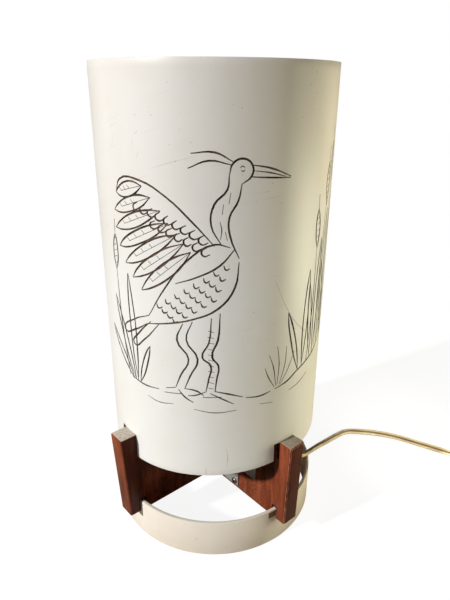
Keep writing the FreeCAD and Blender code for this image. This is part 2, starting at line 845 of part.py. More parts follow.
def plug_body():
    neck = Part.makeCone(cord_d / 2 + plug_neck_wall, plug_neck_r, plug_neck_length, Vec(0, 0, 0), X_AXIS)
    start = plug_neck_length
    body = block(start, start + plug_length, -plug_w / 2, plug_w / 2, -plug_h / 2, plug_h / 2)
    upright = [e for e in body.Edges if e.Length < plug_h + pick_gap and abs(e.CenterOfMass.z) < pick_gap]
    body = body.makeFillet(plug_edge, upright)
    return at_plug(fuse([neck, body]))


def plug_blades():
    start = plug_neck_length + plug_length
    blades = []
    for side in (1, -1):
        y = side * blade_pitch / 2
        thickness = (y - blade_t / 2, y + blade_t / 2)
        blade = block(start, start + blade_length, *thickness, -blade_w / 2, blade_w / 2)
        tips = [e for e in blade.Edges if abs(e.CenterOfMass.x - start - blade_length) < pick_gap
                and e.Length < blade_t + pick_gap]
        blades.append(blade.makeFillet(blade_t, tips))
    return at_plug(Part.makeCompound(blades))


NODES = {
    "foot_ring": foot_ring,
    "lower_cross_board": lower_board,
    "upper_cross_board": upper_board,
    "shade_tube": shade_tube,
    "socket_bracket": socket_bracket,
    "bracket_screws": bracket_screws,
    "threaded_nipple": threaded_nipple,
    "lock_washer": lock_washer,
    "lock_nut": lock_nut,
    "harp_saddle": harp_saddle,
    "harp_loop": harp,
    "harp_ferrules": harp_ferrules,
    "socket_cap": socket_cap,
    "cord_bushing": cord_bushing,
    "socket_shell": socket_shell,
    "shell_liner": shell_liner,
    "socket_body": socket_body,
    "screw_shell": screw_shell,
    "centre_contact": centre_contact,
    "terminal_screws": terminal_screws,
    "switch_spindle": switch_spindle,
    "switch_key": switch_key,
    "bulb_cap": bulb_cap,
    "bulb_foot": bulb_foot,
    "bulb_glass": bulb_glass,
    "bulb_stem": bulb_stem,
    "bulb_filament": bulb_filament,
    "pivot_needle": pivot_needle,
    "rotor_cup": rotor_cup,
    "rotor_fan": rotor_fan,
    "rotor_drum": rotor_drum,
    "rotor_hoop": rotor_hoop,
    "rotor_rivets": rotor_rivets,
    "cord_lead": cord_lead,
    "cord_coil": cord_coil,
    "cord_tail": cord_tail,
    "plug_body": plug_body,
    "plug_blades": plug_blades,
}

os.makedirs("parts", exist_ok=True)
for node, make in NODES.items():
    save(node, make())
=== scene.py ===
# The motion lamp: a carved pipe shade stands on two crossed boards in a foot ring, with a
# warm-air rotor inside. Metres, in the model's own frame: the table is z = 0, the pipe's axis is Z.
import bpy
import math
import random
from mathutils import Matrix, Vector


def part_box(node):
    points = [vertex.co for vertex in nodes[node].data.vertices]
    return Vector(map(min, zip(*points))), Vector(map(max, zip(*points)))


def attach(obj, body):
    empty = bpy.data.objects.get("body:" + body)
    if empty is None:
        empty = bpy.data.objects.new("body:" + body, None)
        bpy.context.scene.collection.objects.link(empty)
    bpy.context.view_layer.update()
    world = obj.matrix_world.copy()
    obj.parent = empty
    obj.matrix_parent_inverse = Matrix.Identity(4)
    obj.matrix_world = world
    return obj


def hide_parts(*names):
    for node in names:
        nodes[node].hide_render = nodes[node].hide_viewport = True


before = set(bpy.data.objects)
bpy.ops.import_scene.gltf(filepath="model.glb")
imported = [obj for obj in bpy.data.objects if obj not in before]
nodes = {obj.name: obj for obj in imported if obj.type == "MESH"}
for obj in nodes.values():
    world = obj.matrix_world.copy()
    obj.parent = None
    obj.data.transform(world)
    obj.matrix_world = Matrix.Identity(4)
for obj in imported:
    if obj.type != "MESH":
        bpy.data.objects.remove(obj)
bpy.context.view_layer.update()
mm = 0.001
bpy.ops.object.select_all(action="DESELECT")
bpy.context.scene.view_settings.view_transform = "Standard"


# --- camera
# Stands in front of one quarter of the lamp, about as high as the shade's upper rim, and looks down
# on it a little, so that two posts, the gap under the shade and the bracket are seen.
camera_place = (282.58 * mm, -234.6 * mm, 322.87 * mm)
camera_heading = 49.114
camera_tilt = 67.672
camera_roll = 0.327
camera_lens = 31.345
bpy.ops.object.camera_add()
camera = bpy.context.object
camera.data.lens = camera_lens
camera.matrix_world = (
    Matrix.Translation(camera_place)
    @ Matrix.Rotation(math.radians(camera_heading), 4, "Z")
    @ Matrix.Rotation(math.radians(camera_tilt), 4, "X")
    @ Matrix.Rotation(math.radians(camera_roll), 4, "Z"))
bpy.context.scene.camera = camera


# --- floor and light
# A pale studio floor that runs out to white, low sunlight from a window on the left, three weak
# area lamps, one of them warm, a small spot lamp on the cord, and a dim even room light.
def shaded(name, colour, roughness, metallic=0.0):
    """A new material: the material, its node tree and its shader."""
    made = bpy.data.materials.new(name)
    made.use_nodes = True
    shader = made.node_tree.nodes["Principled BSDF"]
    shader.inputs["Base Color"].default_value = (*colour, 1)
    shader.inputs["Roughness"].default_value = roughness
    shader.inputs["Metallic"].default_value = metallic
    return made, made.node_tree, shader


def add(tree, kind, inputs, **settings):
    """A new shader node; each input is a value or the socket that feeds it."""
    made = tree.nodes.new("ShaderNode" + kind)
    for key, value in settings.items():
        setattr(made, key, value)
    for key, value in inputs.items():
        if isinstance(value, bpy.types.NodeSocket):
            tree.links.new(value, made.inputs[key])
        else:
            made.inputs[key].default_value = value
    return made


def calc(tree, operation, *values):
    """The result of a sum on one, two or three values."""
    return add(tree, "Math", dict(enumerate(values)), operation=operation).outputs[0]


def spread(tree, value, low, high, new_low=0.0, new_high=1.0, **settings):
    """A value carried over from one range to another, and held within it."""
    return add(tree, "MapRange", {"Value": value, "From Min": low, "From Max": high,
                                  "To Min": new_low, "To Max": new_high}, **settings).outputs["Result"]


def srgb(red, green, blue):
    """A colour picked on a screen, from 0 to 255, as the shader wants it."""
    return tuple(((c / 255 + 0.055) / 1.055) ** 2.4 if c > 10 else c / 3295
                 for c in (red, green, blue))


def ramp(tree, factor, *stops):
    """Colours spread over a factor; each stop is its place and its colour."""
    made = add(tree, "ValToRGB", {"Fac": factor})
    points = made.color_ramp.elements
    while len(points) < len(stops):
        points.new(0.5)
    for point, (place, colour) in zip(points, stops):
        point.position = place
        point.color = (*colour, 1)
    return made.outputs["Color"]


def blended(tree, factor, first, second, mode="MIX"):
    """Two colours mixed by a factor."""
    made = add(tree, "Mix", {}, data_type="RGBA", blend_type=mode)
    for index, value in ((0, factor), (6, first), (7, second)):
        socket = made.inputs[index]
        if isinstance(value, bpy.types.NodeSocket):
            tree.links.new(value, socket)
        else:
            socket.default_value = (*value, 1) if isinstance(value, tuple) else value
    return made.outputs[2]


def object_coords(tree, scale=(1, 1, 1)):
    """The place in the model's own frame, stretched along each axis."""
    place = add(tree, "TexCoord", {}).outputs["Object"]
    return add(tree, "Mapping", {"Vector": place, "Scale": scale}).outputs["Vector"]


def seen_by_camera(tree):
    """1 where the camera looks, directly or through glass, and 0 for other light."""
    path = add(tree, "LightPath", {})
    return calc(tree, "MAXIMUM", path.outputs["Is Camera Ray"], path.outputs["Is Transmission Ray"])


def grey(level):
    """A colour without a tint, solid."""
    return level, level, level, 1


floor_reach = 4.0
fade_start = 0.55               # where the floor starts to run out to white, and where it has
fade_end = 1.3
floor_white = 0.16
floor_glow = 0.90
bounce_start = 0.25             # the light that the table throws up, warm near the lamp
bounce_end = 0.9
near_bounce = (0.52, 0.47, 0.41)
far_bounce = (0.16, 0.15, 0.14)
bpy.ops.mesh.primitive_plane_add(size=2 * floor_reach)
floor = bpy.context.object
floor.name = "floor"
floor_paint, tree, _ = shaded("floor_paint", (0.8, 0.8, 0.8), 0.9)
seen = seen_by_camera(tree)
distance = add(tree, "VectorMath", {0: object_coords(tree)}, operation="LENGTH").outputs["Value"]
away = spread(tree, distance, fade_start, fade_end, interpolation_type="SMOOTHSTEP")
matt = add(tree, "BsdfDiffuse", {"Color": grey(floor_white)}).outputs[0]
glow = add(tree, "Emission", {"Color": grey(1), "Strength": floor_glow}).outputs[0]
near = add(tree, "AddShader", {0: matt, 1: glow}).outputs[0]
white = add(tree, "Emission", {"Color": grey(1), "Strength": 1.0}).outputs[0]
pale = add(tree, "MixShader", {0: away, 1: near, 2: white}).outputs[0]
table = spread(tree, distance, bounce_start, bounce_end, interpolation_type="SMOOTHSTEP")
bounce = ramp(tree, table, (0, near_bounce), (1, far_bounce))
plain = add(tree, "BsdfDiffuse", {"Color": bounce}).outputs[0]
surface = add(tree, "MixShader", {0: seen, 1: plain, 2: pale}).outputs[0]
tree.links.new(surface, tree.nodes["Material Output"].inputs["Surface"])
floor.data.materials.append(floor_paint)

room_light = 0.05
room = bpy.data.worlds.new("room")
bpy.context.scene.world = room
room.use_nodes = True
tree = room.node_tree
strength = spread(tree, seen_by_camera(tree), 0, 1, room_light, 1.0)
tree.links.new(strength, tree.nodes["Background"].inputs["Strength"])
tree.nodes["Background"].inputs["Color"].default_value = grey(1)

window_azimuth = -100           # degrees, as are its height and the sun's width
window_height = 28.8
window_width = 3
window_strength = 3.55
bpy.ops.object.light_add(type="SUN", location=(0, 0, 1))
window = bpy.context.object
window.name = "window_light"
window.data.angle = math.radians(window_width)
window.data.energy = window_strength
window.data.color = (1.0, 0.995, 0.985)
window.rotation_euler = (math.radians(90 - window_height), 0, math.radians(window_azimuth + 90))

lamp_aim = Vector((0, 0, 0.16))
lamps = {                       # azimuth, distance, height, size, watts, colour
    "near_light": (46, 0.5, 0.06, 0.3, 2.1, (1.0, 0.95, 0.68)),
    "warm_light": (85, 1.0, 0.12, 0.5, 1.5, (1.0, 0.82, 0.52)),
    "left_light": (-150, 1.2, 0.5, 0.8, 1.0, (1.0, 1.0, 1.0)),
}
for name, (azimuth, distance, height, size, watts, colour) in lamps.items():
    angle = math.radians(azimuth)
    place = Vector((distance * math.cos(angle), distance * math.sin(angle), height))
    bpy.ops.object.light_add(type="AREA", location=place)
    lamp = bpy.context.object
    lamp.name = name
    lamp.data.size = size
    lamp.data.energy = watts
    lamp.data.color = colour
    lamp.visible_camera = False
    lamp.rotation_euler = (lamp_aim - place).to_track_quat("-Z", "Y").to_euler()

spot_place = Vector((0.30, -0.02, 0.25))
spot_aim = Vector((0.085, 0.175, 0))
spot_watts = 5.0
spot_width = 26                 # degrees
bpy.ops.object.light_add(type="SPOT", location=spot_place)
lamp = bpy.context.object
lamp.name = "cord_light"
lamp.data.energy = spot_watts
lamp.data.color = (1.0, 0.94, 0.80)
lamp.data.spot_size = math.radians(spot_width)
lamp.data.spot_blend = 1.0
lamp.data.shadow_soft_size = 0.03
lamp.rotation_euler = (spot_aim - spot_place).to_track_quat("-Z", "Y").to_euler()


# --- cord
# One flat two-wire lamp cord in clear gold plastic, 1.8 m from the socket to the plug. It drops out
# of the cap, goes over the foot ring to the table, and its spare length is wound into a neat coil.
def noise(tree, place, scale, **more):
    """Soft random patches; more gives the other inputs of the pattern."""
    return add(tree, "TexNoise", {"Vector": place, "Scale": scale, **more}).outputs["Fac"]


lobe_r = 1.33 * mm
lobe_pitch = 1.32 * mm
lead_route = [                # x, y, z in millimetres and the cord's twist in degrees
    (16.94, 8.38, 76.4, 0), (29.58, 14.62, 76.4, 0), (41.0, 21.2, 70.6, 10), (50.8, 29.2, 60.5, 25),
    (58.6, 38.2, 42.6, 15), (56.6, 48.7, 36.2, -10), (55.2, 60.0, 34.4, -15), (51.2, 76.0, 29.2, -5),
    (46.9, 91.0, 23.0, 5), (41.6, 107.1, 15.8, 15), (36.0, 125.0, 8.0, 20), (34.6, 141.6, 4.0, 30),
    (43.3, 153.3, 2.5, 48), (54.7, 163.3, 2.5, 62), (69.4, 172.3, 2.54, 68), (87.3, 179.1, 2.54, 68),
    (105.6, 185.6, 2.5, 60), (124.1, 192.1, 2.5, 56), (143.0, 200.5, 2.55, 64), (160.7, 208.6, 2.66, 78)]
tail_route = [
    (207.84, 179.06, 18.55, 85), (207.59, 165.75, 15.0, 60), (206.28, 153.22, 9.6, 25),
    (205.05, 141.19, 6.0, 5), (204.12, 129.16, 6.0, 0)]
coil_middle = (174.55, 178.31)
coil_places = [               # distance from the coil's axis and height of each turn
    (33.3, 2.65), (33.3, 2.65), (28.0, 2.65), (28.0, 7.95), (33.3, 7.95), (33.3, 13.25), (28.0, 13.25),
    (28.0, 18.55), (33.3, 18.55)]
coil_steps = 18               # points in a turn
coil_shift = 4                # points over which a turn moves to its next place

entry, leave = (math.atan2(route[1] - coil_middle[1], route[0] - coil_middle[0])
                for route in (lead_route[-1], tail_route[0]))
entry_steps = round((entry - leave) / (2 * math.pi) * coil_steps)
coil_route = []
for count in range(1, entry_steps + coil_steps * (len(coil_places) - 2)):
    turn, step = divmod(count - entry_steps + coil_steps, coil_steps)
    (r0, z0), (r1, z1) = coil_places[turn], coil_places[turn + 1]
    share = max(0, step - (coil_steps - coil_shift)) / coil_shift
    angle = entry + (leave - entry) * min(1, count / entry_steps)
    angle -= 2 * math.pi * max(0, count - entry_steps) / coil_steps
    radius = r0 + (r1 - r0) * share
    coil_route.append((coil_middle[0] + radius * math.cos(angle),
                       coil_middle[1] + radius * math.sin(angle), z0 + (z1 - z0) * share, 90))
cord_route = lead_route + coil_route + tail_route

line = bpy.data.curves.new("cord_line", "CURVE")
line.dimensions = "3D"
line.twist_mode = "Z_UP"
line.resolution_u = 5
spline = line.splines.new("NURBS")
spline.points.add(len(cord_route) - 1)
for point, (x, y, z, twist) in zip(spline.points, cord_route):
    point.co = (x * mm, y * mm, z * mm, 1)
    point.tilt = math.radians(twist)
spline.order_u = 3
spline.use_endpoint_u = True
cord = bpy.data.objects.new("lamp_cord", line)
bpy.context.collection.objects.link(cord)
cord_points = [vertex.co.copy() for vertex in bpy.data.meshes.new_from_object(cord).vertices]

section = bpy.data.curves.new("cord_section", "CURVE")
outline = section.splines.new("POLY")
lobe_steps = 9                # points round each of the two lobes, and how far round they go
lobe_end = math.radians(145)
outline.points.add(2 * lobe_steps - 1)
for index, point in enumerate(outline.points):
    side = 1 if index < lobe_steps else -1
    angle = lobe_end * (2 * (index % lobe_steps) / (lobe_steps - 1) - 1)
    point.co = (side * (lobe_pitch + lobe_r * math.cos(angle)), side * lobe_r * math.sin(angle), 0, 1)
outline.use_cyclic_u = True
section_object = bpy.data.objects.new("cord_section", section)
bpy.context.collection.objects.link(section_object)
line.bevel_mode = "OBJECT"
line.bevel_object = section_object
line.use_fill_caps = True
cord.select_set(True)
bpy.context.view_layer.objects.active = cord
bpy.ops.object.convert(target="MESH")
bpy.data.objects.remove(section_object)
bpy.ops.object.shade_smooth()

gold_plastic, tree, shader = shaded("gold_cord_plastic", srgb(205, 180, 120), 0.32)
around = add(tree, "TexCoord", {}).outputs["UV"]
around = add(tree, "SeparateXYZ", {"Vector": around}).outputs["Y"]
# Round each lobe: painted shade in the groove between the lobes and painted highlights on the lobes'
# faces, over the cord's gold.
groove_shade, flank, painted_shine, core = srgb(62, 44, 20), srgb(168, 142, 94), srgb(240, 228, 194), srgb(220, 194, 142)
copper_and_painted_light = ramp(tree, around, (0.0, groove_shade), (0.06, flank), (0.13, painted_shine), (0.25, core), (0.37, painted_shine),
              (0.44, flank), (0.5, groove_shade), (0.56, flank), (0.63, painted_shine), (0.75, core), (0.87, painted_shine),
              (0.94, flank), (1.0, groove_shade))
cloudy = noise(tree, object_coords(tree), 60.0, Detail=3.0)
tint = ramp(tree, cloudy, (0.35, (0.72, 0.68, 0.58)), (0.65, (1, 1, 1)))
tree.links.new(blended(tree, 0.6, copper_and_painted_light, tint, "MULTIPLY"), shader.inputs["Base Color"])
shader.inputs["Coat Weight"].default_value = 0.3
cord.data.materials.append(gold_plastic)

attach(cord, "base")
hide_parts("cord_lead", "cord_coil", "cord_tail")


# --- shade
# A length of drain pipe, sawn a little out of square below, with a notch for each post. The plastic
# is yellowed and scuffed, and a line drawing is carved into it and stained dark brown.
def applied(piece, kind, **settings):
    """Adds a modifier with these settings and applies it."""
    step = piece.modifiers.new(kind.lower(), kind)
    for key, value in settings.items():
        setattr(step, key, value)
    bpy.context.view_layer.objects.active = piece
    bpy.ops.object.modifier_apply(modifier=step.name)


def placed(name, *materials):
    """Puts the active object's place into its mesh, names it and gives it its materials."""
    bpy.ops.object.transform_apply(location=True, rotation=True, scale=True)
    piece = bpy.context.object
    piece.name = piece.data.name = name
    for material in materials:
        piece.data.materials.append(material)
    return piece


def block(place, size):
    """A block for cutting: its place with its turn, and its three sizes."""
    bpy.ops.mesh.primitive_cube_add(size=1)
    bpy.context.object.matrix_world = place @ Matrix.Diagonal((*size, 1))
    return bpy.context.object


def pick(*pieces):
    """Selects these objects and nothing else; the first is the active one."""
    bpy.ops.object.select_all(action="DESELECT")
    for piece in pieces:
        piece.select_set(True)
    bpy.context.view_layer.objects.active = pieces[0]


def cut_by(piece, tools, *materials):
    """Cuts these tools out of a piece; the cut faces take the tools' material."""
    pick(*tools)
    if len(tools) > 1:
        bpy.ops.object.join()
    tool = placed("tool", *materials)
    applied(piece, "BOOLEAN", object=tool, solver="MANIFOLD", material_mode="TRANSFER")
    bpy.data.objects.remove(tool)


def settle(piece, body, slot, *replaced):
    """Says which body a piece rides on and hides the CAD nodes that it stands for; the slot is not used.
    """
    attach(piece, body)
    if replaced:
        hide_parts(*replaced)


def rounded(piece, width, segments=2, angle=40, **settings):
    """Rounds the edges where two faces meet at more than this angle, in degrees."""
    applied(piece, "BEVEL", width=width, segments=segments, limit_method="ANGLE",
            angle_limit=math.radians(angle), **settings)


def smooth(piece, angle=30):
    """Shades a piece smoothly, save at edges sharper than this angle, in degrees."""
    pick(piece)
    bpy.ops.object.shade_smooth_by_angle(angle=math.radians(angle))
    piece.select_set(False)


def row_cut(piece, rows):
    """Divides the upright edges of a tube evenly into rows."""
    bpy.ops.object.mode_set(mode="EDIT")
    bpy.ops.mesh.select_all(action="DESELECT")
    bpy.ops.object.mode_set(mode="OBJECT")
    for edge in piece.data.edges:
        first, second = (piece.data.vertices[index].co for index in edge.vertices)
        edge.select = (first - second).xy.length < 0.001 * mm
    bpy.ops.object.mode_set(mode="EDIT")
    bpy.ops.mesh.subdivide(number_cuts=rows - 1)
    bpy.ops.object.mode_set(mode="OBJECT")


def pipe_paint(name, colour, warm, rough):
    """Weathered pipe plastic: cloudy yellowing, brown specks, faint scratches and scuffs."""
    made, tree, shader = shaded(name, colour, rough)
    place = object_coords(tree)
    clouds = noise(tree, place, 11.0, Detail=5.0, Roughness=0.6)
    yellowed = ramp(tree, clouds, (0.3, warm), (0.62, colour))
    streaks = noise(tree, object_coords(tree, (26, 26, 3)), 1.0, Detail=3.0)
    streaks = ramp(tree, streaks, (0.4, (0.93, 0.915, 0.875)), (0.6, (1, 1, 1)))
    streaked = blended(tree, 0.35, yellowed, streaks, "MULTIPLY")
    specks = add(tree, "TexVoronoi", {"Vector": place, "Scale": 210.0}).outputs["Distance"]
    rare = noise(tree, place, 38.0, Detail=1.0)
    speck = calc(tree, "MULTIPLY", calc(tree, "LESS_THAN", specks, 0.055),
                 calc(tree, "GREATER_THAN", rare, 0.57))
    spotted = blended(tree, speck, streaked, srgb(186, 158, 124))
    rubs = []
    for turn, stretch in ((0.35, (9, 9, 240)), (-0.6, (240, 240, 9))):
        bent = add(tree, "VectorRotate", {"Vector": place, "Angle": turn}, rotation_type="Y_AXIS")
        bent = add(tree, "Mapping", {"Vector": bent.outputs[0], "Scale": stretch})
        lines = noise(tree, bent.outputs[0], 2.0, Detail=2.0)
        rubs.append(spread(tree, lines, 0.70, 0.76))
    rub = calc(tree, "MAXIMUM", rubs[0], rubs[1])
    patchy = noise(tree, place, 24.0)
    patchy = spread(tree, patchy, 0.45, 0.65)
    rub = calc(tree, "MULTIPLY", rub, patchy)
    faint = calc(tree, "MULTIPLY", rub, 0.35)
    tree.links.new(blended(tree, faint, spotted, srgb(176, 164, 140)), shader.inputs["Base Color"])
    gloss = spread(tree, clouds, 0, 1, rough - 0.08, rough + 0.12)
    tree.links.new(gloss, shader.inputs["Roughness"])
    fine = noise(tree, place, 700.0, Detail=2.0)
    height = calc(tree, "SUBTRACT", fine, rub)
    bump = add(tree, "Bump", {"Height": height, "Strength": 0.12, "Distance": 0.0002})
    tree.links.new(bump.outputs[0], shader.inputs["Normal"])
    return made, tree, shader


pipe_r = 79.7 * mm
pipe_in = 77.16 * mm
warm_tint_low = 200 * mm           # the plastic is tinted warmer towards the top, between these heights
warm_tint_high = 310 * mm
top_tint = (0.985, 0.950, 0.915)
shade_paint, tree, shader = pipe_paint("shade_plastic", srgb(246, 246, 244), srgb(241, 239, 232), 0.40)
level = add(tree, "SeparateXYZ", {"Vector": object_coords(tree)}).outputs["Z"]
toward_top = spread(tree, level, warm_tint_low, warm_tint_high)
plastic = shader.inputs["Base Color"].links[0].from_socket
tree.links.new(blended(tree, toward_top, plastic, top_tint, "MULTIPLY"), shader.inputs["Base Color"])
sawn_paint, _, _ = pipe_paint("sawn_plastic", srgb(222, 208, 182), srgb(188, 166, 132), 0.6)
columns = 288
rows = 60
shade_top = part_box("shade_tube")[1].z
shade_low = 74.0 * mm
saw_slope = math.tan(math.radians(2.6))
highest_side = math.radians(50.3)
spare = 20 * mm               # length below the slanting saw cut, which takes it off
bpy.context.tool_settings.mesh_select_mode = (False, True, False)   # edges
bpy.ops.mesh.primitive_cylinder_add(vertices=columns, radius=pipe_r,
                                    depth=shade_top - shade_low + spare, end_fill_type="NOTHING",
                                    location=(0, 0, (shade_top + shade_low - spare) / 2))
shade = placed("carved_shade", shade_paint, sawn_paint)
bpy.ops.object.mode_set(mode="EDIT")
bpy.ops.mesh.select_all(action="SELECT")
saw_normal = (-saw_slope * math.cos(highest_side), -saw_slope * math.sin(highest_side), 1)
bpy.ops.mesh.bisect(plane_co=(0, 0, shade_low), plane_no=saw_normal, clear_inner=True)
bpy.ops.mesh.select_all(action="DESELECT")
bpy.ops.object.mode_set(mode="OBJECT")
row_cut(shade, rows)
applied(shade, "SOLIDIFY", thickness=pipe_r - pipe_in, offset=-1)

notch_top = 90.4 * mm
notch_sides = (-11.8 * mm, 6.4 * mm)
notch_size = (50 * mm, notch_sides[1] - notch_sides[0], 100 * mm)
notches = []
for quarter in range(4):
    turn = Matrix.Rotation(math.radians(90 * quarter), 4, "Z")
    middle = (pipe_r, sum(notch_sides) / 2, notch_top - notch_size[2] / 2)
    notches.append(block(turn @ Matrix.Translation(middle), notch_size))
cut_by(shade, notches, sawn_paint)
rounded(shade, 0.35 * mm, angle=35, material=1)

# The drawing: a heron that lifts a wing among reeds at the water's edge. Each stroke is a list of
# points on the unrolled pipe, in millimetres: the way round from the front, and the height.
def leaf(base, tip, swell):
    """The two sides of a narrow leaf or feather."""
    (x0, z0), (x1, z1) = base, tip
    long = math.hypot(x1 - x0, z1 - z0)
    across = ((z0 - z1) / long * swell, (x1 - x0) / long * swell)
    sides = []
    for side in (1, -1):
        line = [base]
        for share, full in ((0.25, 0.8), (0.55, 1.0), (0.85, 0.6)):
            line.append((x0 + (x1 - x0) * share + side * full * across[0],
                         z0 + (z1 - z0) * share + side * full * across[1]))
        sides.append(line + [tip])
    return sides


def cattail(foot, head, lean, long):
    """A stalk with its seed head, drawn as a long oval with short marks in it."""
    x, z = head
    stalk = [foot, ((foot[0] + x) / 2 - lean, (foot[1] + z) / 2), (x, z)]
    top = (x + lean * 0.4, z + long)
    lines = [stalk] + leaf((x, z), top, 2.6) + [[top, (top[0] + lean * 0.3, top[1] + 9)]]
    marks = [[(x - 1.3, z + step), (x + 1.5, z + step + 1.2)] for step in range(4, long - 2, 4)]
    return lines, marks


wing_tips = [(-66, 264), (-69, 253), (-69, 242), (-66, 231), (-61, 221), (-55, 213), (-48, 206)]
wing_roots = [(-44, 270), (-38, 264), (-32, 257), (-27, 250), (-22, 244), (-18, 239), (-14, 234)]
main_lines = [
    [(9, 237), (0, 239), (-16, 229), (-30, 211), (-43, 190)],              # back
    [(14, 228), (12, 212), (2, 199), (-14, 191), (-30, 187), (-45, 184)],  # breast and belly
    [(4, 238), (-2, 250), (0, 262), (7, 270), (8, 278)],                   # neck
    [(14, 230), (9, 243), (8, 254), (13, 264), (15, 273)],
    [(8, 278), (10, 284), (16, 286.5), (21, 282.5), (20.5, 277), (15, 273)],
    [(20, 283), (32, 280.6), (46, 275.4)], [(20.5, 276.6), (33, 275.8), (45.6, 275)],  # bill
    [(10, 285), (0, 290), (-13, 289)], [(9, 283), (-3, 285.5), (-15, 281)],
    [(0, 238), (-13, 252), (-28, 265), (-45, 273), (-62, 272), (-66, 264)],  # wing's upper edge
    [(12, 236), (3, 226), (-10, 219), (-24, 214)],
    [(-43, 190), (-56, 184), (-66, 174), (-56, 177), (-45, 184)],          # tail
    [(-42, 186), (-52, 176), (-58, 166), (-48, 172), (-36, 185)],
    [(-2, 193), (-4, 176), (-8, 166), (-3, 160), (-4, 150), (-6, 141)],    # near leg
    [(3, 196), (2, 178), (-2, 166), (2, 160), (1, 150), (0, 141)],
    [(-20, 188), (-24, 176), (-17, 164), (-22, 152), (-26, 142)],          # far leg
    [(-14, 190), (-18, 177), (-11, 164), (-16, 152), (-20, 142)],
    [(0, 141), (9, 139), (18, 136)], [(-3, 140), (5, 135), (12, 131)],     # toes
    [(-6, 141), (-13, 138), (-18, 137)], [(-20, 142), (-12, 141), (-7, 138)],
    [(-24, 141), (-20, 136), (-14, 132)], [(-26, 142), (-33, 140)],
    # the water's edge
    [(-62, 139.5), (-50, 137.5), (-38, 138)], [(-34, 137), (-22, 138)], [(-8, 136.5), (4, 137)],
    [(20, 135), (30, 134.5), (38, 136)],
    [(41, 136.5), (52, 139), (60, 143), (70, 146), (82, 150), (96, 158)],
]
for tip, root in zip(wing_tips, wing_roots):
    main_lines += leaf(root, tip, 4.2)
fine_lines = [
    [(14.2, 281.6), (15.4, 282.4), (16.6, 281.5)],                         # eye
    [(14.3, 280.6), (15.5, 279.8), (16.6, 280.5)],
    [(22, 279.8), (32, 278.2), (42, 275.6)],
    [(3, 252), (4, 247), (3, 242)], [(5, 262), (4, 256)], [(9, 268), (8, 262)], [(6, 246), (7, 241)],
    [(42, 139), (40, 152), (36, 163)], [(43, 139), (44, 155), (42, 168)],   # tuft of grass
    [(45, 139), (49, 153), (50, 166)], [(46, 139), (53, 150), (57, 160)],
    [(41, 138), (36, 147), (33, 154)],
    [(-48, 130), (-38, 128), (-28, 129.5)], [(-14, 127), (0, 125), (14, 126.5)], [(30, 128), (40, 126.5)],
    [(54, 131), (64, 133), (74, 137)],
]
for tip, root in zip(wing_tips, wing_roots):                               # quills and short feathers
    fine_lines.append([root, tuple(0.25 * a + 0.75 * b for a, b in zip(root, tip))])
    for share in (0.42, 0.58, 0.74):
        x, z = (a + (b - a) * share for a, b in zip(root, tip))
        fine_lines.append([(x, z), (x - 2.2, z + 1.9)])
for step in range(9):                                                      # scales along the wing's edge
    x, z = -6 - 5.2 * step, 244 + 3.1 * step - 0.13 * step * step
    main_lines.append([(x, z), (x - 3.4, z - 2.6), (x - 1.4, z - 5.4), (x + 2.2, z - 4.2)])
    if step < 7:
        main_lines.append([(x + 1.6, z - 7), (x - 1.8, z - 9.4), (x - 0.2, z - 12), (x + 3.2, z - 11)])
for line in range(4):                                                      # feather marks on the body
    for step in range(8 - line):
        x, z = 7 - 6.0 * step - 2.5 * line, 225 - 4.1 * step - 6.6 * line + 0.25 * step
        main_lines.append([(x - 1.9, z + 1.2), (x - 0.6, z - 1.5), (x + 1.9, z - 0.6)])
for z in range(144, 187, 4):                                               # rings on the legs
    fine_lines.append([(-4.4, z), (-0.6, z - 0.8)])
reeds = [                                                                  # foot, tip, swell
    ((-58, 139), (-76, 196), 2.2), ((-56, 139), (-60, 214), 2.4), ((-54, 138), (-44, 168), 2.0),
    ((-60, 139), (-84, 172), 2.0), ((62, 144), (50, 190), 2.0), ((66, 146), (70, 214), 2.4),
    ((76, 149), (71, 205), 2.2), ((80, 150), (84, 232), 2.6), ((88, 154), (93, 250), 3.0),
    ((96, 158), (88, 216), 2.6), ((98, 158), (103, 262), 3.0)]
cattails = [                                                               # foot, head, lean, length
    ((-64, 140), (-72, 214), 2, 24), ((72, 147), (77, 226), -2, 26),
    ((84, 152), (89, 252), 2, 28), ((92, 156), (98, 266), -2, 26)]
for reed in reeds:
    main_lines += leaf(*reed)
for foot, head, lean, long in cattails:
    lines, marks = cattail(foot, head, lean, long)
    main_lines += lines
    fine_lines += marks
# Two hairline cracks by the lower edge and two thin scratches.
hair_lines = [[(7.9, 95.8), (8.2, 88), (8.0, 80.5)], [(-6.4, 80), (-6.6, 76.5), (-6.5, 73)],
              [(38, 214), (48, 194), (60, 178), (76, 166)], [(42, 196), (46, 196.6)]]

crack_paint, tree, shader = shaded("hairline_crack", srgb(168, 150, 122), 0.7)
grit = noise(tree, object_coords(tree), 300.0)
gritty = ramp(tree, grit, (0.35, srgb(150, 130, 102)), (0.65, srgb(196, 182, 156)))
tree.links.new(gritty, shader.inputs["Base Color"])
groove_paint, tree, shader = shaded("carved_groove", (0.05, 0.03, 0.018), 0.75)
blotch = noise(tree, object_coords(tree), 420.0, Detail=3.0)
stained = ramp(tree, blotch, (0.35, (0.026, 0.016, 0.010)), (0.68, (0.17, 0.105, 0.06)))
tree.links.new(stained, shader.inputs["Base Color"])
front_side = math.radians(-39.7)      # the way that the middle of the drawing looks
cuts = []
random.seed(7)
strokes = [                           # lines, half their width, how far their ends narrow, stain
    (main_lines, 0.62 * mm, 0.45, groove_paint),
    (fine_lines, 0.38 * mm, 0.5, groove_paint),
    (hair_lines, 0.13 * mm, 0.4, crack_paint)]
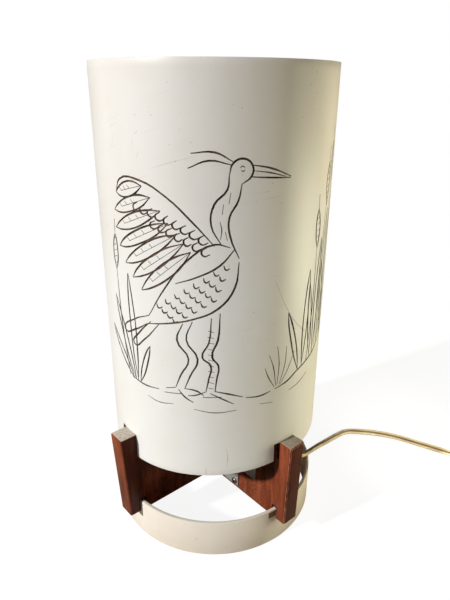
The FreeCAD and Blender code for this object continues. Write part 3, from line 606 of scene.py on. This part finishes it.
for lines, half_width, end_width, stain in strokes:
    for line in lines:
        stroke = bpy.data.curves.new("stroke", "CURVE")
        stroke.dimensions = "3D"
        stroke.resolution_u = 4
        stroke.bevel_depth = half_width
        stroke.bevel_resolution = 2
        stroke.use_fill_caps = True
        stroke.materials.append(stain)
        spline = stroke.splines.new("BEZIER")
        spline.bezier_points.add(len(line) - 1)
        for index, (point, (x, z)) in enumerate(zip(spline.bezier_points, line)):
            wobble = [random.uniform(-0.25, 0.25) for _ in range(2)]
            point.co = ((x + wobble[0]) * mm, (z + wobble[1]) * mm, 0)
            point.handle_left_type = point.handle_right_type = "AUTO"
            point.radius = end_width if index in (0, len(line) - 1) else random.uniform(0.85, 1.1)
        cuts.append(bpy.data.objects.new("stroke", stroke))
        bpy.context.collection.objects.link(cuts[-1])
pick(*cuts)
bpy.ops.object.convert(target="MESH")
bpy.ops.object.mode_set(mode="EDIT")
bpy.ops.mesh.select_all(action="SELECT")
bpy.ops.mesh.remove_doubles(threshold=0.001 * mm)
bpy.ops.object.mode_set(mode="OBJECT")
bpy.ops.object.select_all(action="DESELECT")
for cut in cuts:
    for vertex in cut.data.vertices:
        angle = front_side + vertex.co.x / pipe_r
        radius = pipe_r + vertex.co.z
        vertex.co = (radius * math.cos(angle), radius * math.sin(angle), vertex.co.y)
gouges = bpy.data.collections.new("gouges")
bpy.context.scene.collection.children.link(gouges)
for cut in cuts:
    gouges.objects.link(cut)
applied(shade, "BOOLEAN", operand_type="COLLECTION", collection=gouges, solver="MANIFOLD",
        material_mode="TRANSFER")
for cut in cuts:
    bpy.data.objects.remove(cut)
bpy.data.collections.remove(gouges)
smooth(shade)
settle(shade, "shade", "pipe_plastic", "shade_tube")


# --- foot ring
# The same pipe, stood on the table, creamier than the shade, with a lighter sawn rim and a small
# flat brown patch beside one post.
def copied(node, name, *materials):
    """A new piece from a CAD node, with its loose triangles joined and its flat faces made whole."""
    piece = bpy.data.objects.new(name, nodes[node].data.copy())
    piece.data.name = name
    bpy.context.collection.objects.link(piece)
    piece.data.materials.clear()
    for material in materials:
        piece.data.materials.append(material)
    pick(piece)
    bpy.ops.object.mode_set(mode="EDIT")
    bpy.ops.mesh.select_all(action="SELECT")
    bpy.ops.mesh.remove_doubles(threshold=0.001 * mm)
    bpy.ops.mesh.dissolve_limited(angle_limit=math.radians(1))
    bpy.ops.object.mode_set(mode="OBJECT")
    return piece


ring_paint, tree, shader = pipe_paint("ring_plastic", srgb(240, 232, 220), srgb(230, 219, 200), 0.42)
place = add(tree, "SeparateXYZ", {"Vector": add(tree, "TexCoord", {}).outputs["Object"]})
brown_patch_box = (("X", 78.0, 5.0), ("Y", -10.3, 3.4), ("Z", 26.2, 2.6))    # axis, middle, half its size
inside = [calc(tree, "COMPARE", place.outputs[axis], middle * mm, half * mm)
          for axis, middle, half in brown_patch_box]
mark = calc(tree, "MULTIPLY", inside[0], inside[1])
mark = calc(tree, "MULTIPLY", mark, inside[2])
plastic = shader.inputs["Base Color"].links[0].from_socket
tree.links.new(blended(tree, mark, plastic, srgb(134, 84, 58)), shader.inputs["Base Color"])
rim_paint, _, _ = pipe_paint("ring_rim_plastic", srgb(243, 237, 222), srgb(226, 214, 190), 0.5)
ring_height = 30 * mm
bpy.ops.mesh.primitive_cylinder_add(vertices=columns, radius=pipe_r, depth=ring_height,
                                    end_fill_type="NOTHING", location=(0, 0, ring_height / 2))
ring = placed("pipe_foot_ring", ring_paint, rim_paint)
applied(ring, "SOLIDIFY", thickness=pipe_r - pipe_in, offset=-1, material_offset_rim=1)
rounded(ring, 0.4 * mm, angle=35, material=1)
smooth(ring)
settle(ring, "base", "pipe_plastic", "foot_ring")


# --- cross boards
# Two planks of reddish-brown hardwood on edge, half-lapped, their ends standing up as the posts, with
# kerfs for the shade's wall. Sharp edges are worn pale and the post tops show end grain; the wood under
# the shade is dusty, and painted shade darkens it there, in the kerfs by the ring and on the outer faces
# that look along the long board.
end_grain_from = 85 * mm      # faces that look up above this height are the posts' tops
kerf_middle = 78.45 * mm      # distances from the pipe's axis: the kerf, with half its width
kerf_half = 2.0 * mm
kerf_top = 31.6 * mm
painted_shade_low = 46 * mm           # painted shade under the shade's wall thickens between these heights, inside this distance
painted_shade_high = 62 * mm
painted_shade_reach = 76.4 * mm
dust_edge = 74 * mm           # dust thickens from the edge towards the middle
dust_middle = 60 * mm
face_shade_from = 76.8 * mm          # beyond this distance the posts' faces along the long board carry painted shade


def wood_paint(name, dark, middle, light, worn):
    """Oiled wood: grain, pores, blots, end grain on top, dust, and painted shade under the shade, in the
    kerfs and on the faces along the long board.
    """
    made, tree, shader = shaded(name, middle, 0.5)
    shader.inputs["Specular IOR Level"].default_value = 0.16
    source = add(tree, "TexCoord", {})
    here = source.outputs["Object"]
    level = add(tree, "SeparateXYZ", {"Vector": here}).outputs["Z"]
    normal = add(tree, "SeparateXYZ", {"Vector": source.outputs["Normal"]})
    place = add(tree, "VectorRotate", {"Vector": here, "Angle": 0.05}, rotation_type="Y_AXIS").outputs[0]
    grain_place = add(tree, "Mapping", {"Vector": place, "Scale": (110, 110, 14)}).outputs[0]
    grain = noise(tree, grain_place, 1.0, Detail=4.0, Roughness=0.65, Distortion=0.4)
    figure = ramp(tree, grain, (0.30, dark), (0.5, middle), (0.70, light))
    pore_place = add(tree, "Mapping", {"Vector": place, "Scale": (900, 900, 34)}).outputs[0]
    pores = noise(tree, pore_place, 1.0, Detail=2.0)
    pores = spread(tree, pores, 0.60, 0.68)
    pored = blended(tree, calc(tree, "MULTIPLY", pores, 0.6), figure, dark)
    blots = noise(tree, place, 45.0, Detail=3.0)
    blots = spread(tree, blots, 0.55, 0.75)
    blotted = blended(tree, calc(tree, "MULTIPLY", blots, 0.45), pored, dark)
    top = spread(tree, normal.outputs["Z"], 0.75, 0.95)
    high = calc(tree, "GREATER_THAN", level, end_grain_from)
    top = calc(tree, "MULTIPLY", top, high)
    dots = noise(tree, place, 950.0, Detail=2.0)
    end_grain = ramp(tree, dots, (0.32, tuple(c * 0.62 for c in worn)), (0.58, worn))
    faced = blended(tree, top, blotted, end_grain)
    flat_place = add(tree, "VectorMath", {0: here, 1: (1, 1, 0)}, operation="MULTIPLY")
    out = add(tree, "VectorMath", {0: flat_place.outputs[0]}, operation="LENGTH").outputs["Value"]
    # painted shade: faces in and beside the kerfs by the ring, below kerf_top, are painted near black
    near_wall = calc(tree, "COMPARE", out, kerf_middle, kerf_half)
    low = calc(tree, "LESS_THAN", level, kerf_top)
    kerf_shade = calc(tree, "MULTIPLY", near_wall, low)
    # painted shade: the wood inside the shade's wall is darkened to near black, more so higher up
    painted_shade = spread(tree, level, painted_shade_low, painted_shade_high, 0, 0.72)
    covered = calc(tree, "LESS_THAN", out, painted_shade_reach)
    painted_shade = calc(tree, "MULTIPLY", painted_shade, covered)
    faced = blended(tree, painted_shade, faced, (0.010, 0.005, 0.003))
    faced = blended(tree, kerf_shade, faced, (0.012, 0.006, 0.004))
    dust = noise(tree, here, 750.0, Detail=3.0)
    dust = spread(tree, dust, 0.56, 0.72)
    webs = spread(tree, out, dust_edge, dust_middle, 0.12, 0.55)
    dust = calc(tree, "MULTIPLY", dust, webs)
    faced = blended(tree, dust, faced, srgb(196, 140, 112))
    # painted shade: faces that look along the long board, outside the shade's wall, are darkened
    facing = spread(tree, calc(tree, "ABSOLUTE", normal.outputs["X"]), 0.80, 0.95)
    outside = calc(tree, "GREATER_THAN", out, face_shade_from)
    face_shade = calc(tree, "MULTIPLY", facing, outside)
    faced = blended(tree, face_shade, faced, (0.42, 0.32, 0.22), "MULTIPLY")
    tree.links.new(faced, shader.inputs["Base Color"])
    rough = spread(tree, grain, 0, 1, 0.42, 0.62)
    tree.links.new(rough, shader.inputs["Roughness"])
    height = calc(tree, "SUBTRACT", grain, pores)
    bump = add(tree, "Bump", {"Height": height, "Strength": 0.35, "Distance": 0.0003})
    tree.links.new(bump.outputs[0], shader.inputs["Normal"])
    return made


def worn_edge_paint(name, first, second):
    """Bare wood on a rubbed edge, in patches of two colours."""
    made, tree, shader = shaded(name, first, 0.65)
    patches = noise(tree, object_coords(tree), 160.0, Detail=4.0)
    tree.links.new(ramp(tree, patches, (0.38, second), (0.62, first)), shader.inputs["Base Color"])
    return made


worn_wood = worn_edge_paint("worn_hardwood", srgb(232, 180, 150), srgb(132, 66, 44))
for name, node, end_colour in (("long_cross_board", "lower_cross_board", srgb(158, 146, 130)),
                               ("high_cross_board", "upper_cross_board", srgb(212, 200, 184))):
    red_wood = wood_paint(name + "_wood", (0.070, 0.013, 0.005), (0.20, 0.045, 0.017),
                          (0.32, 0.085, 0.034), end_colour)
    board = copied(node, name, red_wood, worn_wood)
    rounded(board, 0.35 * mm, material=1)
    smooth(board, 40)
    settle(board, "base", "hardwood", node)


# --- bracket and its screws
# One strip of zinc-coated sheet, folded to straddle the long board, dull and smudged, that carries
# the nipple. Four steel screws with worn slots hold its flanges to the wood.
def metal_paint(name, colour, rough, stretch=(60, 60, 60), spotted=0.25):
    """Metal with fine drawn lines, duller patches and small dark spots."""
    made, tree, shader = shaded(name, colour, rough, 1.0)
    place = object_coords(tree)
    patches = noise(tree, place, 130.0, Detail=4.0)
    dull = ramp(tree, patches, (0.35, tuple(c * 0.76 for c in colour)), (0.6, colour))
    spots = noise(tree, place, 900.0, Detail=2.0)
    spots = spread(tree, spots, 0.62, 0.72, 0, spotted)
    spotty = blended(tree, spots, dull, tuple(c * 0.3 for c in colour))
    tree.links.new(spotty, shader.inputs["Base Color"])
    drawn = noise(tree, object_coords(tree, stretch), 12.0, Detail=3.0)
    uneven = spread(tree, drawn, 0, 1, rough - 0.1, rough + 0.15)
    tree.links.new(uneven, shader.inputs["Roughness"])
    bump = add(tree, "Bump", {"Height": drawn, "Strength": 0.15, "Distance": 0.0001})
    tree.links.new(bump.outputs[0], shader.inputs["Normal"])
    return made


def dress(material, *names):
    """Gives CAD nodes a better material."""
    for name in names:
        nodes[name].data.materials.clear()
        nodes[name].data.materials.append(material)


zinc = metal_paint("zinc_sheet", (0.62, 0.61, 0.59), 0.55, spotted=0.5)
zinc.node_tree.nodes["Principled BSDF"].inputs["Metallic"].default_value = 0.75
dress(zinc, "socket_bracket")
screw_paint = metal_paint("dull_steel", (0.34, 0.33, 0.31), 0.42)
# The screw slots are painted near black: partly dirt, partly painted shade in the recess.
slot_shade_paint, tree, shader = shaded("slot_dirt_and_shade", (0.02, 0.015, 0.012), 0.8)
slot_mottle = noise(tree, object_coords(tree), 1500.0)
slot_dark_tones = ramp(tree, slot_mottle, (0.3, (0.012, 0.009, 0.007)), (0.8, (0.06, 0.045, 0.03)))
tree.links.new(slot_dark_tones, shader.inputs["Base Color"])
screws = copied("bracket_screws", "slotted_screws", screw_paint)
screw_low, screw_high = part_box("bracket_screws")
screw_z = (screw_low.z + screw_high.z) / 2
screw_head_r = 2.6 * mm
screw_x = screw_high.x - screw_head_r
slot_size = (6 * mm, 1.5 * mm, 0.75 * mm)
slots = []
for index, (side, flank) in enumerate(((1, 1), (1, -1), (-1, 1), (-1, -1))):
    place = Matrix.Translation((side * screw_x, flank * screw_high.y, screw_z))
    slots.append(block(place @ Matrix.Rotation(0.5 + 0.9 * index, 4, "Y"), slot_size))
cut_by(screws, slots, slot_shade_paint)
smooth(screws, 35)
settle(screws, "base", "screw_steel", "bracket_screws")


# --- nipple, washer and nut
# A threaded brass tube that stands through the bracket and carries the harp and the socket. A steel
# washer and a six-sided brass nut hold it from below.
old_brass = metal_paint("old_brass", (0.56, 0.37, 0.13), 0.36)
thread_pitch = 0.95 * mm
thread_depth = 0.45 * mm
nipple_low, nipple_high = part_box("threaded_nipple")
nipple_r = nipple_high.x
bore_r = 3.4 * mm
thread_columns = 40
thread_rows = 128
thread_ends = 20              # the thread fades out over a twentieth of the length at each end
nipple_long = nipple_high.z - nipple_low.z
nipple_middle = nipple_low.z + nipple_long / 2
bpy.ops.mesh.primitive_cylinder_add(vertices=thread_columns, radius=nipple_r, depth=nipple_long,
                                    end_fill_type="NGON", location=(0, 0, nipple_middle))
nipple = placed("nipple_with_thread", old_brass)
row_cut(nipple, thread_rows)
for vertex in nipple.data.vertices:
    angle = math.atan2(vertex.co.y, vertex.co.x)
    phase = (vertex.co.z / thread_pitch - angle / (2 * math.pi)) % 1
    from_end = min(vertex.co.z - nipple_low.z, nipple_high.z - vertex.co.z) / nipple_long
    crest = (1 - abs(2 * phase - 1)) * min(1, thread_ends * from_end)
    radius = nipple_r - thread_depth * (1 - crest)
    vertex.co = (radius * math.cos(angle), radius * math.sin(angle), vertex.co.z)
bpy.ops.mesh.primitive_cylinder_add(vertices=thread_columns, radius=bore_r, depth=2 * nipple_long,
                                    location=(0, 0, nipple_middle))
cut_by(nipple, [bpy.context.object])
smooth(nipple, 50)
settle(nipple, "base", "nipple_brass", "threaded_nipple")
nut = copied("lock_nut", "chamfered_nut", old_brass)
rounded(nut, 0.5 * mm)
smooth(nut, 40)
settle(nut, "base", "nipple_brass", "lock_nut")
dress(screw_paint, "lock_washer")


# --- harp
# A nickel-plated wire bent round the bulb, on a saddle folded from strip and clamped under the
# socket. Brass sleeves drop over the joints and lock them.
nickel = metal_paint("worn_nickel", (0.62, 0.58, 0.50), 0.28)
dress(nickel, "harp_loop", "harp_saddle")
sleeves = copied("harp_ferrules", "harp_sleeves", old_brass)
rounded(sleeves, 0.5 * mm, 3)
smooth(sleeves, 40)
settle(sleeves, "base", "nipple_brass", "harp_ferrules")


# --- socket
# A screw socket: cap and shell spun from brass and gone dull, a fibre liner, a black moulded
# insulator that holds the contacts and the switch, and the cord's black bushing in the cap's side.
socket_brass = metal_paint("spun_brass", (0.60, 0.41, 0.16), 0.30, (30, 30, 900))
cap = copied("socket_cap", "spun_cap", socket_brass)
rounded(cap, 0.7 * mm, 3, 24)
smooth(cap, 35)
settle(cap, "base", "socket_brass", "socket_cap")
dress(socket_brass, "socket_shell")
dress(old_brass, "screw_shell", "centre_contact", "terminal_screws", "switch_spindle", "bulb_foot")


def plain_paint(name, colour, rough, tone=0.8, scale=500.0, depth=0.1):
    """Moulded or pressed stuff with a fine uneven skin."""
    made, tree, shader = shaded(name, colour, rough)
    skin = noise(tree, object_coords(tree), scale, Detail=4.0)
    uneven = ramp(tree, skin, (0.3, tuple(c * tone for c in colour)), (0.7, colour))
    tree.links.new(uneven, shader.inputs["Base Color"])
    bump = add(tree, "Bump", {"Height": skin, "Strength": depth, "Distance": 0.0002})
    tree.links.new(bump.outputs[0], shader.inputs["Normal"])
    return made


black_plastic = plain_paint("black_moulding", (0.022, 0.021, 0.02), 0.38)
dress(black_plastic, "socket_body", "cord_bushing")
dress(plain_paint("fibre_board", (0.40, 0.30, 0.18), 0.9, 0.6, 900.0, 0.4), "shell_liner")


# --- switch key
# The lamp's turn knob: a black moulded paddle with rounded edges and grip grooves, pushed on the end
# of the switch's spindle.
key = copied("switch_key", "turn_key", black_plastic)
rounded(key, 0.45 * mm)
key_low, key_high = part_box("switch_key")
grip_start = 5                # millimetres from the key's end, as is the grooves' pitch
grip_pitch = 2.2
grip_side = 1.75 * mm         # the grooves' distance from the key's middle plane
grooves = []
for rib in range(5):
    for side in (1, -1):
        middle = (key_low.x + (grip_start + grip_pitch * rib) * mm, side * grip_side,
                  (key_low.z + key_high.z) / 2)
        grooves.append(block(Matrix.Translation(middle), (0.7 * mm, 0.7 * mm, 6 * mm)))
cut_by(key, grooves)
smooth(key, 40)
settle(key, "switch", "black_plastic", "switch_key")


# --- bulb
# A common screw-in bulb: frosted glass on a threaded aluminium cap, with its glass stem, lead wires
# and filament inside.
dress(metal_paint("satin_aluminium", (0.66, 0.66, 0.66), 0.32), "bulb_cap")
frosted, tree, shader = shaded("frosted_glass", (0.93, 0.93, 0.91), 0.45)
shader.inputs["Transmission Weight"].default_value = 0.75
shader.inputs["IOR"].default_value = 1.45
frost = noise(tree, object_coords(tree), 900.0, Detail=3.0)
hazy = ramp(tree, frost, (0.3, (0.86, 0.86, 0.84)), (0.7, (0.96, 0.96, 0.94)))
tree.links.new(hazy, shader.inputs["Base Color"])
bump = add(tree, "Bump", {"Height": frost, "Strength": 0.1, "Distance": 0.0001})
tree.links.new(bump.outputs[0], shader.inputs["Normal"])
dress(frosted, "bulb_glass")
stem_glass, tree, shader = shaded("stem_glass", (0.95, 0.97, 0.96), 0.08)
shader.inputs["Transmission Weight"].default_value = 1.0
ripple = noise(tree, object_coords(tree), 160.0)
bump = add(tree, "Bump", {"Height": ripple, "Strength": 0.2, "Distance": 0.0003})
tree.links.new(bump.outputs[0], shader.inputs["Normal"])
dress(stem_glass, "bulb_stem")
dress(metal_paint("filament_wire", (0.30, 0.30, 0.31), 0.5), "bulb_filament")


# --- pivot and rotor
# A polished steel needle on the harp's crown carries a brass bearing cup, and the cup a bright fan
# with tilted vanes. The printed drum of amber film is riveted to the fan and kept round by a hoop.
dress(metal_paint("needle_steel", (0.70, 0.70, 0.71), 0.15), "pivot_needle")
cup = copied("rotor_cup", "bearing_cup", old_brass)
rounded(cup, 0.3 * mm)
smooth(cup, 40)
settle(cup, "rotor", "nipple_brass", "rotor_cup")
bright_aluminium = metal_paint("bright_aluminium", (0.78, 0.78, 0.79), 0.30, (400, 30, 30), 0.12)
dress(bright_aluminium, "rotor_fan", "rotor_rivets")
dress(screw_paint, "rotor_hoop")
film, tree, shader = shaded("drum_film", (0.80, 0.42, 0.10), 0.35)
place = add(tree, "SeparateXYZ", {"Vector": add(tree, "TexCoord", {}).outputs["Object"]})
around = calc(tree, "ARCTAN2", place.outputs["Y"], place.outputs["X"])
wave = calc(tree, "SINE", calc(tree, "MULTIPLY", around, 5.0))
swell = calc(tree, "COSINE", calc(tree, "MULTIPLY", around, 3.0))
lift = calc(tree, "MULTIPLY", wave, 0.09)
lift = calc(tree, "MULTIPLY_ADD", swell, 0.13, lift)
bands = calc(tree, "MULTIPLY_ADD", place.outputs["Z"], 36.0, lift)
bands = calc(tree, "MODULO", bands, 1.0)
printed = ramp(tree, bands, (0.0, (0.78, 0.36, 0.07)), (0.30, (0.86, 0.55, 0.16)),
               (0.42, (0.35, 0.09, 0.02)), (0.48, (0.88, 0.62, 0.24)), (0.75, (0.70, 0.22, 0.04)),
               (1.0, (0.78, 0.36, 0.07)))
blur = noise(tree, object_coords(tree), 55.0, Detail=3.0)
smudged = ramp(tree, blur, (0.35, (0.72, 0.66, 0.6)), (0.65, (1, 1, 1)))
printed = blended(tree, 0.5, printed, smudged, "MULTIPLY")
tree.links.new(printed, shader.inputs["Base Color"])
shader.inputs["Transmission Weight"].default_value = 0.25
glowing = add(tree, "BsdfTranslucent", {"Color": printed}).outputs[0]
mixed = add(tree, "MixShader", {0: 0.45, 1: shader.outputs[0], 2: glowing}).outputs[0]
tree.links.new(mixed, tree.nodes["Material Output"].inputs["Surface"])
dress(film, "rotor_drum")


# --- plug
# Moulded on the cord's end in the same gold plastic, with grip grooves and two brass blades, each
# with its hole. A wire tie holds the coil.
def at_plug(x, y, z):
    """A place on the plug: along it from the cord's end, across it and up, in millimetres."""
    return plug_place @ Matrix.Translation((x * mm, y * mm, z * mm))


(before_x, before_y, _, _), (end_x, end_y, end_z, _) = tail_route[-2:]
plug_place = (Matrix.Translation((end_x * mm, end_y * mm, end_z * mm))
              @ Matrix.Rotation(math.atan2(end_y - before_y, end_x - before_x), 4, "Z"))
plug_gold = plain_paint("plug_plastic", srgb(176, 148, 92), 0.35, 0.8, 220.0)
plug = copied("plug_body", "moulded_plug", plug_gold)
rounded(plug, 1.0 * mm, 3)
groove_size = (1.1 * mm, 13 * mm, 1.2 * mm)
grooves = []
for rib in range(5):
    for side in (1, -1):
        grooves.append(block(at_plug(16 + 3 * rib, 0, side * 6), groove_size))
cut_by(plug, grooves)
smooth(plug, 40)
settle(plug, "base", "plug_plastic", "plug_body")
blades = copied("plug_blades", "holed_blades", old_brass)
hole_along = 45.5             # millimetres: where the hole sits, and half the blades' distance
blade_side = 6.35
holes = []
for side in (1, -1):
    bpy.ops.mesh.primitive_cylinder_add(vertices=24, radius=1.6 * mm, depth=4 * mm)
    holes.append(bpy.context.object)
    across = Matrix.Rotation(math.radians(90), 4, "X")
    holes[-1].matrix_world = at_plug(hole_along, side * blade_side, 0) @ across
cut_by(blades, holes)
smooth(blades, 40)
settle(blades, "base", "nipple_brass", "plug_blades")

# A wire tie round the put-away turns.
tie_paint = plain_paint("tie_plastic", (0.04, 0.04, 0.045), 0.5)
tie = bpy.data.curves.new("coil_tie", "CURVE")
tie.dimensions = "3D"
tie.bevel_depth = 0.7 * mm
tie.bevel_resolution = 3
tie.use_fill_caps = True
tie.materials.append(tie_paint)
tie_side = math.radians(205)
tie_drift = 0.012             # how far each point of the tie moves on round the coil, in radians
spline = tie.splines.new("NURBS")
tie_line = [                  # distance from the coil's axis and height, in millimetres
    (24.4, 9), (24.2, 1.2), (27, 0.75), (34, 0.75), (36.9, 1.2), (37.0, 9), (36.9, 21.4),
    (33.5, 22.2), (27.5, 22.2), (24.4, 21.4), (24.4, 9.5), (22.5, 7.5), (20.5, 8.5), (19, 6.5),
    (17.5, 8)]
spline.points.add(len(tie_line) - 1)
for index, (point, (r, z)) in enumerate(zip(spline.points, tie_line)):
    turn = tie_side + tie_drift * index
    point.co = ((coil_middle[0] + r * math.cos(turn)) * mm,
                (coil_middle[1] + r * math.sin(turn)) * mm, z * mm, 1)
spline.order_u = 3
spline.use_endpoint_u = True
coil_tie = bpy.data.objects.new("coil_tie", tie)
bpy.context.collection.objects.link(coil_tie)
settle(coil_tie, "base", "black_plastic")
